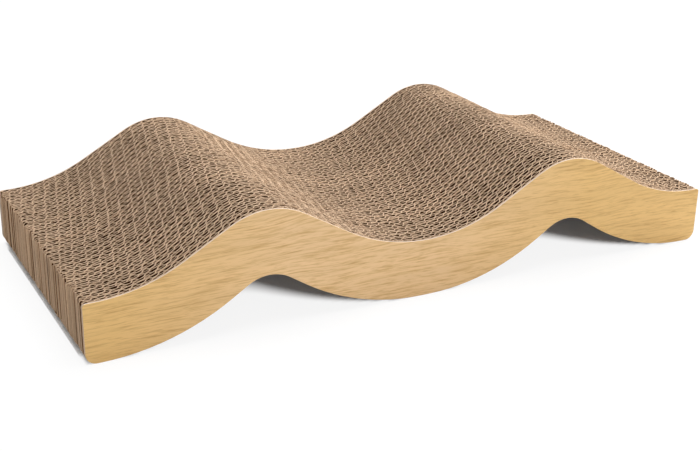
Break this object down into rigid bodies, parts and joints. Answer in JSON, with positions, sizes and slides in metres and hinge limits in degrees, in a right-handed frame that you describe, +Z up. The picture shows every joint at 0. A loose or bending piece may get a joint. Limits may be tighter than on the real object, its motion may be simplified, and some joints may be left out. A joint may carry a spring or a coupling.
{
  "type": "cardboard cat scratcher",
  "caption": "Wave-shaped scratching block of corrugated strips glued on edge, with arches underneath and plain wood-grain side panels.",
  "frame": {"origin": "centre of the middle foot on the floor, below the middle of the block", "axes": "+X along the waves, +Y across the strips to the back, +Z up"},
  "size_m": [0.43, 0.195, 0.0735],
  "materials": {
    "corrugated_board": "unbleached kraft paper, matt, with open cut flutes and fibrous edges",
    "wood_print_board": "thin greyboard faced with satin paper printed in pale yellow wood grain"
  },
  "bodies": {
    "root": {"strip_01": "corrugated_board", "strip_02": "corrugated_board", "strip_03": "corrugated_board", "strip_04": "corrugated_board", "strip_05": "corrugated_board", "strip_06": "corrugated_board", "strip_07": "corrugated_board", "strip_08": "corrugated_board", "strip_09": "corrugated_board", "strip_10": "corrugated_board", "strip_11": "corrugated_board", "strip_12": "corrugated_board", "strip_13": "corrugated_board", "strip_14": "corrugated_board", "strip_15": "corrugated_board", "strip_16": "corrugated_board", "strip_17": "corrugated_board", "strip_18": "corrugated_board", "strip_19": "corrugated_board", "strip_20": "corrugated_board", "strip_21": "corrugated_board", "strip_22": "corrugated_board", "strip_23": "corrugated_board", "strip_24": "corrugated_board", "strip_25": "corrugated_board", "strip_26": "corrugated_board", "strip_27": "corrugated_board", "strip_28": "corrugated_board", "strip_29": "corrugated_board", "strip_30": "corrugated_board", "strip_31": "corrugated_board", "strip_32": "corrugated_board", "strip_33": "corrugated_board", "strip_34": "corrugated_board", "strip_35": "corrugated_board", "front_side_panel": "wood_print_board", "back_side_panel": "wood_print_board"}
  },
  "joints": []
}
